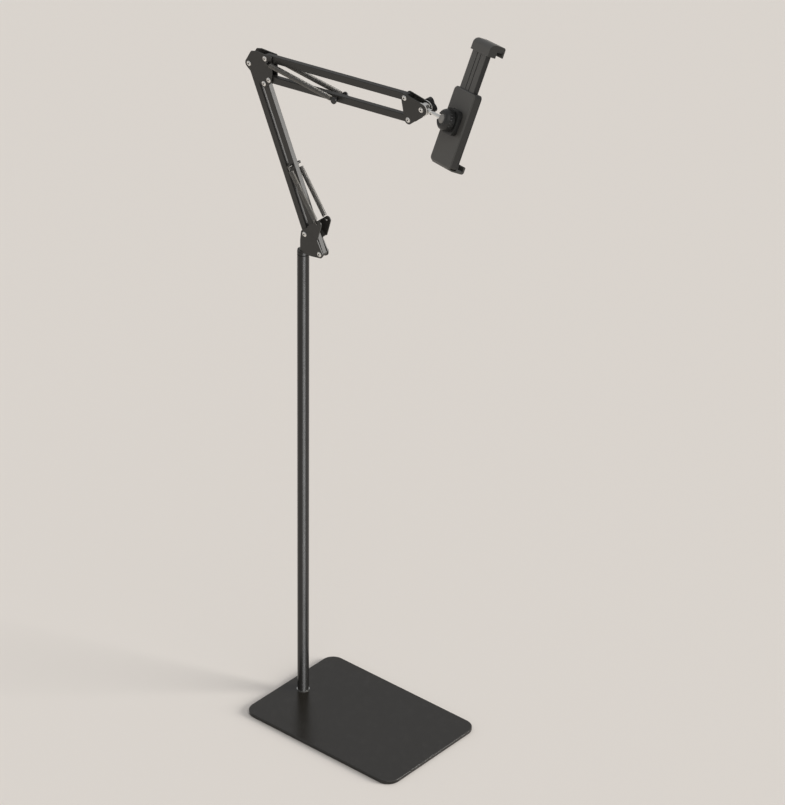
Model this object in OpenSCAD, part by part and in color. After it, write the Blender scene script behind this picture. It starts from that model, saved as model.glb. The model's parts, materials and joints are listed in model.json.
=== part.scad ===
// Floor stand with a spring balanced, double parallelogram arm and a sliding tablet clamp.
// Origin: the pole's axis at floor level. +X is the way the arm reaches, +Z is up.

/* [Base] */
// Length of the base plate along the arm
base_len = 290; // [250:1:340]
// Width of the base plate
base_wid = 202; // [170:1:240]
// Thickness of the steel plate
base_t = 5; // [4:0.5:8]
// Radius of the plate's corners
base_corner_r = 20; // [8:1:40]
// Thickness of the rubber mat under the plate
mat_t = 1; // [0.8:0.1:2]
// Distance from the pole's axis to the rear edge of the plate
pole_setback = 30.5; // [26:0.5:60]
// Diameter of the screw that holds the pole
pole_screw_d = 8; // [6:0.5:9]

/* [Pole] */
// Outside diameter of the pole
pole_d = 17.5; // [16:0.5:20]
// Wall of the pole tube
pole_wall = 1.5; // [1:0.1:2]
// Height of the pole tube's top above the floor
pole_top_z = 755; // [600:1:900]
// Diameter of the swivel pin
swivel_pin_d = 8; // [7:0.5:9]
// Length of the swivel pin inside the pole
swivel_pin_len = 34; // [24:1:50]
// Height of the swivel collar
collar_h = 4.8; // [4:0.2:8]

/* [Arms] */
// Distance between the pivots of every arm bar
arm_len = 256; // [220:1:300]
// Slope of the lower arm above the horizontal
lower_slope = 114; // [100:1:118]
// Slope of the upper arm above the horizontal
upper_slope = 5; // [-10:1:20]
// Depth of a bar's section, in the plane of the arm
bar_depth = 10.5; // [9:0.1:11]
// Width of a bar's section
bar_width = 8.4; // [7:0.1:10]
// Wall of a bar
bar_wall = 1.2; // [0.8:0.1:1.6]
// Diameter of the pivot bolts
pivot_d = 4; // [3.5:0.1:5]
// Thickness of the side plates
plate_t = 1.6; // [1.2:0.1:2]
// Distance from the lower arm's front pivot to its spring pin
lower_pin_at = 133; // [110:1:150]
// Distance from the upper arm's lower pivot to its spring pin
upper_pin_at = 126; // [105:1:150]

/* [Springs] */
// Outside diameter of the coils
spring_od = 7.6; // [6.5:0.1:8.2]
// Diameter of the spring wire
wire_d = 1.2; // [1:0.1:1.4]
// Distance of each spring from the middle of the arm
spring_y = 10; // [9.9:0.1:11.5]
// Curls of each spring
spring_turns = 20; // [14:1:24]

/* [Head] */
// Diameter of the stem between the head and the ball
stem_d = 5; // [4:0.1:6]
// Length from the tilt axis to the ball's centre
stem_len = 36.4; // [34:0.2:45]
// Slope of the stem below the horizontal
stem_drop = 7.4; // [0:0.1:20]
// Radius of the tilt tongue
tongue_r = 8; // [7:0.1:8.6]
// Diameter of the ball
ball_d = 14; // [13:0.1:14.4]
// Wall of the ball's liner
liner_t = 1.2; // [1:0.1:1.4]

/* [Clamp] */
// Turn of the clamp about the vertical
clamp_pan = 62.2; // [50:0.1:75]
// Lean of the clamp's face towards the floor
clamp_lean = 25.1; // [15:0.1:35]
// Roll of the clamp about its own facing direction
clamp_roll = -11; // [-20:0.1:0]
// Distance from the ball's centre to the back of the clamp
clamp_back = 15; // [14.5:0.1:18]
// Width of the clamp body
body_w = 60; // [56:0.5:70]
// Length of the clamp body
body_len = 107; // [100:1:130]
// Length of the clamp body below the ball
body_below = 60.5; // [55:0.5:70]
// Thickness of the clamp body
body_t = 12; // [11.5:0.1:15]
// Wall behind the slider
back_wall = 2.2; // [2:0.1:3]
// Width of the slider
slider_w = 40; // [36:0.5:44]
// Thickness of the slider
slider_t = 6.8; // [5:0.1:7]
// Opening between the jaws as stored
jaw_open = 167; // [140:1:185]
// Depth of the jaws, for the edge of what they hold
jaw_depth = 8.5; // [7:0.1:12]
// Width of the upper jaw
jaw_w = 50; // [40:0.5:60]
// Length of the clamp's return springs as stored
return_len = 96; // [80:1:100]

/* [Hidden] */
$fn = 48;
EPS = 0.01;
running = 0.05;
slide_gap = 0.3;
seat_gap = 0.1;
head_d = 6.6;
head_h = 1.5;
nut_af = 7;
nut_h = 3.2;
washer_t = 0.6;
washer_d = 8.4;
plate_in = bar_width / 2 + 0.8;
plate_out = plate_in + plate_t;
base_top = mat_t + base_t;
ring_t = 0.8;
ring_d = pole_d + 1.8;
pole_foot = base_top + ring_t;
tube_bore = pole_d / 2 - pole_wall;
plug_h = 26;
bush_h = 32;
bush_flange = 0.8;
collar_z = pole_top_z + bush_flange + 0.2;
bracket_z = collar_z + collar_h;
pin_r = 2;
pin_end = spring_y + wire_d / 2 + 2;
groove_r = pin_r - 0.7;
hook_gap = 0.1;
groove_half = wire_d / 2 + 0.3;
ear_hole_r = 1.5;
pivot_r = pivot_d / 2;
cap_d = 9.4;
cap_t = 3.2;

// Pivots and spring anchors, as [x, z] in the plane of the arm
lower_rear = [8.3, bracket_z + 31];
lower_front = lower_rear + [28.1, -22.4];
lower_dir = [cos(lower_slope), sin(lower_slope)];
upper_dir = [cos(upper_slope), sin(upper_slope)];
elbow_rear = lower_rear + arm_len * lower_dir;
elbow_front = lower_front + arm_len * lower_dir;
elbow_low = elbow_front + [9, 8.2];
elbow_top = elbow_low + [-7.2, 30.7];
head_top = elbow_top + arm_len * upper_dir;
head_low = elbow_low + arm_len * upper_dir;
tilt_axis = head_top + [29.8, -8.4];
ear_hole = lower_front + [-0.9, 48.6];
ear_tip = ear_hole + [2.1, 1.2];
ear_r = 5.4;
elbow_stud = elbow_low + [0, 26.5];
lower_pin = lower_front + lower_pin_at * lower_dir;
upper_pin = elbow_low + upper_pin_at * upper_dir;
ear_foot = [lower_rear + [6.3, 12.8], lower_rear + [23.3, -1.6]];

// Ball, socket and clamp, in the clamp's own frame: X into the device, Z along the slider
ball_at = tilt_axis + stem_len * [cos(stem_drop), -sin(stem_drop)];
ball_r = ball_d / 2;
liner_in = ball_r + seat_gap;
liner_out = liner_in + liner_t;
seat_r = liner_out + seat_gap;
nut_od = 30;
neck_r = 12;
nut_front = -5.5;
nut_back = seat_r + 0.1;
notch_w = stem_d + 3.4;
body_front = clamp_back + body_t;
cover_t = 2.4;
slider_x = clamp_back + back_wall + slide_gap;
slot_t = slider_t + 2 * slide_gap;
body_top = body_len - body_below;
rest_x = body_front + 1.8;
lip_x = rest_x + jaw_depth;
lip_t = 2.4;
pad_t = 1.5;
lower_grip = -body_below + 2.5;
upper_grip = lower_grip + jaw_open;
jaw_root = upper_grip - 9;
slider_tail = body_top - 50;
slot_floor = 4 - body_below;
anchor_r = 1.5;
anchor_z = slot_floor + anchor_r + 1.5;
return_x = slider_x + slider_t / 2 + 0.5;
return_y = slider_w / 4;
lower_jaw_w = body_w - 4;

// Direction of the stem seen from the ball, in the clamp's own frame
stem_out = [-cos(stem_drop), 0, sin(stem_drop)];
panned = [
    stem_out[0] * cos(clamp_pan) + stem_out[1] * sin(clamp_pan),
    stem_out[1] * cos(clamp_pan) - stem_out[0] * sin(clamp_pan), stem_out[2]
];
leaned = [
    panned[0] * cos(clamp_lean) - panned[2] * sin(clamp_lean), panned[1],
    panned[0] * sin(clamp_lean) + panned[2] * cos(clamp_lean)
];
stem_in_clamp = [
    leaned[0], leaned[1] * cos(clamp_roll) + leaned[2] * sin(clamp_roll),
    leaned[2] * cos(clamp_roll) - leaned[1] * sin(clamp_roll)
];
notch_roll = atan2(stem_in_clamp[2], stem_in_clamp[1]);

// Puts a piece drawn about the Y axis on a pivot of the arm
module at(p, y = 0) {
    translate([p[0], y, p[1]]) children();
}

// Straight cylinder along +Y from y0 to y1
module rod_y(r, y0, y1) {
    translate([0, y0, 0]) rotate([-90, 0, 0]) cylinder(r = r, h = y1 - y0);
}

// Flat plate in the plane of the arm, from y0 to y1, out of a 2D outline
module plate_y(y0, y1) {
    translate([0, y1, 0]) rotate([90, 0, 0]) linear_extrude(y1 - y0) children();
}

// Round corner of an outline
module lobe(p, r) {
    translate(p) circle(r = r, $fn = 32);
}

// The clamp's own frame, with its origin at the ball's centre
module clamp_frame() {
    translate([ball_at[0], 0, ball_at[1]])
        rotate([0, 0, clamp_pan]) rotate([0, clamp_lean, 0]) rotate([clamp_roll, 0, 0])
            children();
}

// The stem's own frame: +X from the tilt axis to the ball
module stem_frame() {
    at(tilt_axis) rotate([0, stem_drop, 0]) children();
}

module rounded_slab(len, wid, r, h, edge = 0) {
    hull() for (x = [r, len - r], y = [r - wid / 2, wid / 2 - r]) translate([x, y, 0]) {
        cylinder(r = r, h = h - edge);
        if (edge > 0) cylinder(r = r - edge, h = h);
    }
}

// Rectangle with round corners, round its own middle
module rounded_rect(a, b, r) {
    square([a - 2 * r, b], center = true);
    square([a, b - 2 * r], center = true);
    for (x = [-1, 1], y = [-1, 1]) translate([x * (a / 2 - r), y * (b / 2 - r)])
        circle(r = r, $fn = 32);
}

module base_mat() {
    inset = 4;
    color([0.09, 0.09, 0.09]) translate([inset - pole_setback, 0, 0])
        rounded_slab(base_len - 2 * inset, base_wid - 2 * inset, base_corner_r - inset, mat_t);
}

module base_plate() {
    color([0.2, 0.2, 0.19]) difference() {
        translate([-pole_setback, 0, mat_t])
            rounded_slab(base_len, base_wid, base_corner_r, base_t, 0.8);
        translate([0, 0, mat_t - EPS]) {
            cylinder(d = pole_screw_d + 0.4, h = base_t + 1);
            cylinder(d1 = 2 * pole_screw_d + 0.8, d2 = pole_screw_d, h = pole_screw_d / 2);
        }
    }
}

module pole_screw() {
    socket_af = pole_screw_d * 0.6;
    color([0.75, 0.75, 0.74]) difference() {
        translate([0, 0, mat_t]) {
            cylinder(d1 = 2 * pole_screw_d, d2 = pole_screw_d, h = pole_screw_d / 2);
            cylinder(d = pole_screw_d, h = base_t + ring_t + plug_h - 6);
        }
        translate([0, 0, mat_t - EPS]) cylinder(d = socket_af / cos(30), h = 3, $fn = 6);
    }
}

module foot_ring() {
    color([0.8, 0.8, 0.78]) translate([0, 0, base_top]) difference() {
        cylinder(d = ring_d, h = ring_t);
        translate([0, 0, -1]) cylinder(d = pole_screw_d + 0.4, h = ring_t + 2);
    }
}

module foot_plug() {
    color([0.6, 0.6, 0.6]) translate([0, 0, pole_foot]) difference() {
        cylinder(r = tube_bore, h = plug_h);
        translate([0, 0, -EPS]) cylinder(d = pole_screw_d, h = plug_h - 4);
    }
}

module pole_tube() {
    color([0.13, 0.13, 0.13]) translate([0, 0, pole_foot]) difference() {
        cylinder(d = pole_d, h = pole_top_z - pole_foot, $fn = 64);
        translate([0, 0, -1]) cylinder(r = tube_bore, h = pole_top_z);
    }
}

module top_bush() {
    color([0.15, 0.15, 0.15]) difference() {
        translate([0, 0, pole_top_z - bush_h]) {
            cylinder(r = tube_bore, h = bush_h);
            translate([0, 0, bush_h]) cylinder(d = pole_d - 1.2, h = bush_flange);
        }
        translate([0, 0, pole_top_z - bush_h - 1])
            cylinder(d = swivel_pin_d + 2 * running, h = bush_h + bush_flange + 2);
    }
}

module swivel_collar() {
    color([0.2, 0.2, 0.19]) translate([0, 0, collar_z]) difference() {
        union() {
            cylinder(d = pole_d, h = collar_h - 0.6, $fn = 64);
            translate([0, 0, collar_h - 0.6]) cylinder(d1 = pole_d, d2 = pole_d - 1.2, h = 0.6, $fn = 64);
        }
        translate([0, 0, -1]) cylinder(d = swivel_pin_d, h = collar_h + 2);
    }
}

module swivel_pin() {
    color([0.75, 0.75, 0.74]) translate([0, 0, bracket_z]) {
        translate([0, 0, -collar_h - bush_flange - swivel_pin_len])
            cylinder(d = swivel_pin_d, h = collar_h + bush_flange + swivel_pin_len + plate_t);
        translate([0, 0, plate_t]) cylinder(d = swivel_pin_d + 1.6, h = 2.4);
    }
}

// Outline of a side of the shoulder bracket, out of its five corners
module shoulder_outline() {
    hull() {
        lobe(lower_rear, 7);
        lobe(lower_front, 6);
        lobe(ear_foot[0] - [0.4, 0.8], 0.8);
        lobe(ear_foot[1] - [0.4, 0.8], 0.8);
        translate([0, bracket_z]) square([20, 19]);
    }
}

// Spring ear beside the side plate, and the strip that steps out to it from the plate's fold
module spring_ear() {
    run = ear_foot[1] - ear_foot[0];
    turn = atan2(run[1], run[0]);
    rise = 4.5;
    nip = 0.2;
    far_y = spring_y - plate_t / 2;
    up = [-sin(turn), cos(turn)];
    difference() {
        plate_y(far_y, far_y + plate_t) hull() {
            lobe(ear_tip, ear_r);
            lobe(ear_foot[0] + (rise + 1) * up, 1);
            lobe(ear_foot[1] + (rise + 1) * up, 1);
        }
        at(ear_hole) rod_y(ear_hole_r, 0, 30);
    }
    translate([ear_foot[0][0], 0, ear_foot[0][1]]) rotate([0, -turn, 0])
        rotate([90, 0, 90]) linear_extrude(norm(run)) polygon([
            [plate_in + nip, -2], [plate_out - nip, -2], [plate_out - nip, -nip],
            [far_y + plate_t - nip, rise], [far_y + plate_t - nip, rise + 2],
            [far_y + nip, rise + 2], [far_y + nip, rise + 0.6], [plate_in + nip, 0.6]
        ]);
}

module shoulder_bracket() {
    color([0.23, 0.23, 0.21]) difference() {
        union() {
            for (s = [0, 1]) mirror([0, s, 0]) {
                plate_y(plate_in, plate_out) shoulder_outline();
                spring_ear();
            }
            translate([0, 0, bracket_z]) linear_extrude(plate_t) {
                circle(d = pole_d - 0.8);
                translate([0, -plate_in - 1]) square([19, 2 * plate_in + 2]);
            }
        }
        translate([0, 0, bracket_z - 1]) cylinder(d = swivel_pin_d, h = plate_t + 2);
        for (p = [lower_rear, lower_front]) at(p) rod_y(pivot_r + running, -30, 30);
    }
}

// Button head bolt along +Y, its head on the right hand plate
module pivot_bolt(p) {
    tail = plate_out + nut_h + 0.8;
    at(p) difference() {
        union() {
            rod_y(pivot_r, -plate_out, tail);
            translate([0, -plate_out, 0]) rotate([90, 0, 0]) {
                cylinder(d = head_d, h = head_h * 0.6);
                translate([0, 0, head_h * 0.6]) cylinder(d1 = head_d, d2 = head_d - 1.8, h = head_h * 0.4);
            }
        }
        translate([0, -plate_out - head_h - EPS, 0]) rotate([-90, 0, 0])
            cylinder(d = 2.9, h = head_h, $fn = 6);
    }
}

module pivot_nut(p) {
    at(p) difference() {
        union() {
            translate([0, plate_out, 0]) rotate([-90, 0, 0])
                cylinder(d = nut_af / cos(30), h = nut_h * 0.75, $fn = 6);
            rod_y(nut_af / 2 - 0.3, plate_out + nut_h * 0.75, plate_out + nut_h);
        }
        rod_y(pivot_r, plate_out - 1, plate_out + nut_h + 1);
    }
}

// Pair of thrust washers on the inner faces of the plates
module pivot_washers(p) {
    for (s = [0, 1]) mirror([0, s, 0]) at(p) difference() {
        rod_y(washer_d / 2, plate_in - washer_t, plate_in);
        rod_y(pivot_r + 0.15, plate_in - washer_t - 1, plate_in + 1);
    }
}

// Square tube between two pivots, open at its rounded ends
module arm_bar(from, dir) {
    half = bar_depth / 2;
    core = [bar_width - 2 * bar_wall, bar_depth - 2 * bar_wall];
    at(from) rotate([0, -atan2(dir[1], dir[0]), 0]) difference() {
        intersection() {
            translate([-half, 0, 0]) rotate([90, 0, 90]) linear_extrude(arm_len + bar_depth)
                rounded_rect(bar_width, bar_depth, 1);
            union() {
                translate([0, -bar_width, -bar_depth]) cube([arm_len, 2 * bar_width, 2 * bar_depth]);
                for (x = [0, arm_len]) translate([x, 0, 0]) rod_y(half, -bar_width, bar_width);
            }
        }
        translate([-bar_depth, -core[0] / 2, -core[1] / 2])
            cube([arm_len + 2 * bar_depth, core[0], core[1]]);
        for (x = [0, arm_len]) translate([x, 0, 0])
            rod_y(pivot_r + running, -bar_width, bar_width);
        children();
    }
}

// Cross hole for a spring pin, at a distance along a bar
module pin_hole(along) {
    translate([along, 0, 0]) rod_y(pin_r, -bar_width, bar_width);
}

// Spring pin pressed through a bar, with a groove for a hook near each end
module spring_pin(p) {
    at(p) {
        rod_y(pin_r, groove_half - spring_y, spring_y - groove_half);
        rod_y(groove_r, -pin_end + 0.5, pin_end - 0.5);
        for (s = [0, 1]) mirror([0, s, 0]) rod_y(pin_r, spring_y + groove_half, pin_end);
    }
}

// Round black caps pressed on the ends of the upper spring pin
module upper_pin_caps() {
    cap_y = spring_y + groove_half + 0.3;
    color([0.1, 0.1, 0.1]) for (s = [0, 1]) mirror([0, s, 0]) at(upper_pin) difference() {
        union() {
            rod_y(cap_d / 2, cap_y, cap_y + cap_t - 1);
            translate([0, cap_y + cap_t - 1, 0]) rotate([-90, 0, 0])
                cylinder(d1 = cap_d, d2 = cap_d - 2, h = 1);
        }
        rod_y(pin_r, cap_y - 1, pin_end);
    }
}

// Centre line of a spring along +X. Each hook starts at its free tip, passes round the anchor's
// far side in the plane set by its spin, and leads straight to the first curl.
function across(spin, v) = v * [0, sin(spin), cos(spin)];
function hook(eye, reach, leg, spin) = concat(
    [[reach + leg, 0, 0] + across(spin, eye)],
    [for (a = [90 : 30 : 270]) [reach + eye * cos(a), 0, 0] + across(spin, eye * sin(a))],
    [[reach + leg, 0, 0] - across(spin, eye)]
);
function flip(path, span) = [for (i = [len(path) - 1 : -1 : 0])
    [span - path[i][0], path[i][1], path[i][2]]];
function curls(from, to, turns, a0, a1) = let (
    steps = turns * 8, r = (spring_od - wire_d) / 2, sweep = 360 * turns + a1 - a0)
    [for (i = [0 : steps]) [from + (to - from) * i / steps, 0, 0] + across(a0 + sweep * i / steps, r)];
function spring_path(span, a, b) = concat(
    hook(a[0], a[1], a[2], a[3]),
    curls(a[4], span - b[4], spring_turns, a[3] + 180, b[3] + 180),
    flip(hook(b[0], b[1], b[2], b[3]), span)
);

// Hooks, as [radius, centre past the anchor, straight leg, spin of the plane, first curl]
pin_hook = [groove_r + wire_d / 2 + hook_gap, 0, 1, 0, 6.5];
ear_eye = 2;
ear_reach = ear_hole_r - wire_d / 2 - hook_gap + ear_eye;
ear_hook = [ear_eye, ear_reach, 2.6, 90, 10];

// Least gap between parts of the wire that lie more than half a curl apart along it
function least_gap(path) = min([for (i = [0 : len(path) - 6], j = [i + 5 : len(path) - 1])
    norm(path[i] - path[j])]) - wire_d;

module wire_tube(path, r) {
    sides = 6;
    count = len(path);
    echo(least_gap = least_gap(path));
    function way(i) = let (
        a = path[max(i - 1, 0)], b = path[min(i + 1, count - 1)], d = b - a) d / norm(d);
    function side_of(d) = let (
        up = abs(d[2]) > 0.9 ? [1, 0, 0] : [0, 0, 1], s = cross(d, up)) s / norm(s);
    rings = [for (i = [0 : count - 1]) let (d = way(i), s = side_of(d), t = cross(s, d))
        for (k = [0 : sides - 1]) path[i] + r * (cos(60 * k) * s + sin(60 * k) * t)];
    ends = [[for (k = [0 : sides - 1]) k], [for (k = [sides - 1 : -1 : 0]) (count - 1) * sides + k]];
    walls = [for (i = [0 : count - 2], k = [0 : sides - 1]) let (
        a = i * sides + k, b = i * sides + (k + 1) % sides)
        each [[a, a + sides, b], [b, a + sides, b + sides]]];
    polyhedron(points = rings, faces = concat(ends, walls));
}

// Extension spring from one anchor to the other, on one side of the arm
module arm_spring(from, to, side, a, b) {
    run = to - from;
    color([0.6, 0.6, 0.58]) translate([from[0], side * spring_y, from[1]])
        rotate([0, -atan2(run[1], run[0]), 0])
            wire_tube(spring_path(norm(run), a, b), wire_d / 2);
}

module elbow_outline() {
    hull() {
        lobe(elbow_rear, 7);
        lobe(elbow_rear + [4.8, 19], 1.5);
        lobe(elbow_top + [-17.2, 4.6], 1.5);
        lobe(elbow_top + [10.8, 4.6], 1.5);
        lobe(elbow_low, 5.6);
        lobe(elbow_front, 5.8);
    }
}

module elbow_plate(side) {
    color([0.23, 0.23, 0.21]) mirror([0, side > 0 ? 0 : 1, 0]) difference() {
        plate_y(plate_in, plate_out) elbow_outline();
        for (p = [elbow_rear, elbow_front, elbow_low, elbow_top]) at(p)
            rod_y(pivot_r + running, 0, 30);
        at(elbow_stud) rod_y(pin_r - 0.4, 0, 30);
    }
}

// Shouldered stud riveted to an elbow plate, with a groove for the spring's hook
module elbow_spring_studs() {
    color([0.75, 0.75, 0.74]) for (s = [0, 1]) mirror([0, s, 0]) at(elbow_stud) {
        rod_y(pin_r - 0.4, plate_in, plate_out + 0.5);
        rod_y(pin_r, plate_out, spring_y - groove_half);
        rod_y(groove_r, plate_out, pin_end - 0.5);
        rod_y(pin_r, spring_y + groove_half, pin_end);
    }
}

module head_outline() {
    hull() {
        lobe(head_top, 6);
        lobe(head_low, 6.6);
        lobe(tilt_axis, 9);
    }
}

module head_plate(side) {
    color([0.23, 0.23, 0.21]) mirror([0, side > 0 ? 0 : 1, 0]) difference() {
        plate_y(plate_in, plate_out) head_outline();
        for (p = [head_top, head_low, tilt_axis]) at(p) rod_y(pivot_r + running, 0, 30);
    }
}

module tilt_bolt() {
    tail = plate_out + 9;
    color([0.8, 0.8, 0.78]) at(tilt_axis) difference() {
        union() {
            rod_y(pivot_r, -plate_out, tail);
            translate([0, -plate_out, 0]) rotate([90, 0, 0])
                cylinder(d1 = head_d, d2 = head_d - 1, h = head_h);
        }
        translate([0, -plate_out - head_h - EPS, 0]) rotate([-90, 0, 0])
            cylinder(d = 2.9, h = head_h, $fn = 6);
    }
}

module tilt_washers() {
    color([0.85, 0.85, 0.83]) pivot_washers(tilt_axis);
}

module tilt_tongue() {
    half = bar_width / 2;
    neck = tongue_r + 5;
    color([0.78, 0.78, 0.76]) stem_frame() difference() {
        union() {
            rod_y(tongue_r, -half, half);
            rotate([0, 90, 0]) cylinder(d = bar_width - 0.6, h = neck);
        }
        rod_y(pivot_r + running, -20, 20);
        translate([tongue_r - 2, 0, 0]) rotate([0, 90, 0]) cylinder(d = stem_d - 1, h = 20);
    }
}

// Oval thumb knob on the far end of the tilt bolt
module thumb_knob() {
    boss_h = 4;
    grip = 7.5;
    color([0.1, 0.1, 0.1]) at(tilt_axis, plate_out + 0.3) rotate([0, 56, 0]) difference() {
        union() {
            rod_y(5, 0, boss_h);
            plate_y(boss_h, boss_h + grip) hull()
                for (x = [-6, 6]) translate([x, 0]) circle(r = 4.8, $fn = 32);
        }
        rod_y(pivot_r + running, -1, 10);
        for (s = [-1, 1]) translate([0, boss_h, s * 8.6]) rod_y(4.6, 0, grip + 1);
    }
}

module ball_stud() {
    thread_r = stem_d / 2 - 0.5;
    from = tongue_r - 2;
    color([0.8, 0.8, 0.78]) stem_frame() {
        translate([from, 0, 0]) rotate([0, 90, 0]) cylinder(r = thread_r, h = 9);
        translate([tongue_r + 5, 0, 0]) rotate([0, 90, 0])
            cylinder(d = stem_d, h = stem_len - tongue_r - 8);
        translate([stem_len, 0, 0]) sphere(r = ball_r);
    }
}

// Nylon liner round the ball, open towards the stem
module ball_liner() {
    mouth = 50;
    edge = liner_out + 1;
    color([0.92, 0.91, 0.88]) stem_frame() translate([stem_len, 0, 0]) rotate([0, -90, 0])
        rotate_extrude() intersection() {
            difference() {
                circle(r = liner_out, $fn = 64);
                circle(r = liner_in, $fn = 64);
            }
            polygon([
                [0, 0], [edge * sin(mouth), edge * cos(mouth)], [2 * edge, edge * cos(mouth)],
                [2 * edge, -2 * edge], [0, -2 * edge]
            ]);
        }
}

// Room for the stem to fold sideways, from the mouth down to square with the socket
module notch_room() {
    rotate([notch_roll, 0, 0]) {
        translate([-30, 0, -notch_w / 2]) cube([30, 40, notch_w]);
        rotate([-90, 0, 0]) cylinder(d = notch_w, h = 40);
    }
}

// Body of revolution about the socket's axis, out of a profile [radius, depth]
module about_socket(fn = 64) {
    rotate([0, 90, 0]) rotate_extrude($fn = fn) children();
}

module socket_nut() {
    skirt = neck_r + 0.2;
    mouth = ball_r - 0.6;
    out = nut_od / 2;
    color([0.12, 0.12, 0.12]) clamp_frame() difference() {
        about_socket() difference() {
            polygon([
                [mouth, nut_front + 1], [mouth + 1.4, nut_front], [out - 4, nut_front],
                [out - 1.6, nut_front + 2], [out, nut_front + 5], [out, nut_back - 0.6],
                [out - 0.6, nut_back], [mouth, nut_back]
            ]);
            circle(r = seat_r, $fn = 64);
            translate([-1, 0.4]) square([skirt + 1, nut_back + 1]);
        }
        notch_room();
    }
}

module socket_base() {
    flange_x = nut_back + 0.3;
    color([0.13, 0.13, 0.13]) clamp_frame() difference() {
        union() {
            about_socket() difference() {
                translate([0, 0.7]) square([neck_r, flange_x - 0.7]);
                circle(r = seat_r, $fn = 64);
            }
            translate([flange_x, 0, 0]) rotate([0, 90, 0])
                linear_extrude(clamp_back - flange_x) rounded_rect(35, 35, 8.5);
        }
        notch_room();
    }
}

// Rounded box in the clamp's frame, from x0 to x1, with eased edges on the x0 side
module clamp_slab(x0, x1, w, z0, z1, r, ease) {
    translate([x0, 0, 0]) rotate([0, 90, 0]) hull()
        for (z = [z0 + r, z1 - r], y = [r - w / 2, w / 2 - r]) translate([-z, y, 0]) {
            translate([0, 0, ease]) cylinder(r = r, h = x1 - x0 - ease, $fn = 32);
            cylinder(r = r - ease, h = ease, $fn = 32);
        }
}

function screw_places() = [for (y = [-1, 1], z = [14 - body_below, body_top - 9])
    [y * (slider_w / 2 + (body_w - slider_w) / 4), z]];

module clamp_body() {
    slot_w = slider_w + 2 * slide_gap;
    color([0.3, 0.3, 0.28]) clamp_frame() difference() {
        clamp_slab(clamp_back, body_front - cover_t, body_w, -body_below, body_top, 6, 1.6);
        translate([slider_x - slide_gap, -slot_w / 2, slot_floor])
            cube([body_t, slot_w, body_len]);
        for (p = screw_places()) translate([clamp_back + 3, p[0], p[1]]) rotate([0, 90, 0])
            cylinder(r = 1.1, h = body_t);
    }
}

module clamp_cover() {
    color([0.13, 0.13, 0.13]) clamp_frame() difference() {
        clamp_slab(body_front - cover_t, body_front, body_w, -body_below, body_top, 6, 0.2);
        for (p = screw_places()) translate([body_front - cover_t - 1, p[0], p[1]])
            rotate([0, 90, 0]) {
                cylinder(r = 1.5, h = 6);
                translate([0, 0, 2]) cylinder(r = 2.9, h = 6);
            }
    }
}

module cover_pad() {
    color([0.07, 0.07, 0.07]) clamp_frame()
        clamp_slab(body_front, rest_x - 0.3, slider_w - 4, 12 - body_below, body_top - 6, 4, 0.4);
}

module clamp_screws() {
    color([0.75, 0.75, 0.74]) clamp_frame() for (p = screw_places())
        translate([body_front - cover_t + 1, p[0], p[1]]) rotate([0, 90, 0]) difference() {
            union() {
                cylinder(r = 2.6, h = 1.2);
                translate([0, 0, -6]) cylinder(r = 1.1, h = 7);
            }
            translate([0, 0, 0.5]) cylinder(r = 1.1, h = 2, $fn = 6);
        }
}

// Hooked jaw from its profile: [out of the clamp, past the grip line away from the device]
module hook_jaw(back, root, top, arch, w, under) {
    out = lip_x + lip_t;
    hold = [lip_x - rest_x + 0.3, 30 + pad_t];
    rotate([90, 0, 0]) translate([0, 0, -w / 2]) linear_extrude(w) difference() {
        union() {
            hull() {
                translate([back, root]) square([rest_x - 0.3 - back, 1]);
                translate([back + arch, top - arch]) circle(r = arch);
                translate([out - 3.5, top - 3.5]) circle(r = 3.5, $fn = 32);
                translate([lip_x, 0]) square([lip_t, 1]);
            }
            translate([lip_x, -5]) square([lip_t, 6]);
            translate([lip_x + lip_t / 2, -5]) circle(r = lip_t / 2, $fn = 24);
        }
        translate([rest_x - 0.3, -30]) square(hold);
        translate([back - 1, root - 1]) square([body_front - back + 1, under - root + 1]);
    }
}

module clamp_slider() {
    wall = 2;
    groove_w = 1.6;
    groove_deep = 0.7;
    groove_y = 4.9;
    color([0.28, 0.28, 0.26]) clamp_frame() {
        difference() {
            translate([slider_x, -slider_w / 2, slider_tail])
                cube([slider_t, slider_w, jaw_root - slider_tail]);
            translate([slider_x + wall, wall - slider_w / 2, slider_tail - 1])
                cube([slider_t, slider_w - 2 * wall, jaw_root - slider_tail - 5]);
            for (y = [-groove_y, groove_y])
                translate([slider_x - EPS, y - groove_w / 2, slider_tail - 1])
                    cube([groove_deep, groove_w, jaw_root - slider_tail + 2]);
        }
        for (y = [-return_y, return_y])
            translate([slider_x + wall - EPS, y, anchor_z + return_len]) rotate([0, 90, 0])
                cylinder(r = anchor_r, h = slider_t - wall);
    }
}

module upper_jaw() {
    color([0.28, 0.28, 0.26]) clamp_frame() translate([0, 0, upper_grip])
        hook_jaw(slider_x - 1.2, jaw_root - upper_grip, 8.5, 8.5, jaw_w, jaw_root - upper_grip);
}

module upper_jaw_pad() {
    color([0.07, 0.07, 0.07]) clamp_frame() translate([rest_x, 1 - jaw_w / 2, upper_grip])
        cube([jaw_depth, jaw_w - 2, pad_t]);
}

module lower_jaw() {
    color([0.28, 0.28, 0.26]) clamp_frame() translate([0, 0, lower_grip]) mirror([0, 0, 1])
        hook_jaw(clamp_back + 4, -7, 4.5, 2, lower_jaw_w, body_below + lower_grip);
}

module lower_jaw_pad() {
    color([0.07, 0.07, 0.07]) clamp_frame() translate([rest_x, 1 - lower_jaw_w / 2, lower_grip - pad_t])
        cube([jaw_depth, lower_jaw_w - 2, pad_t]);
}

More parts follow.
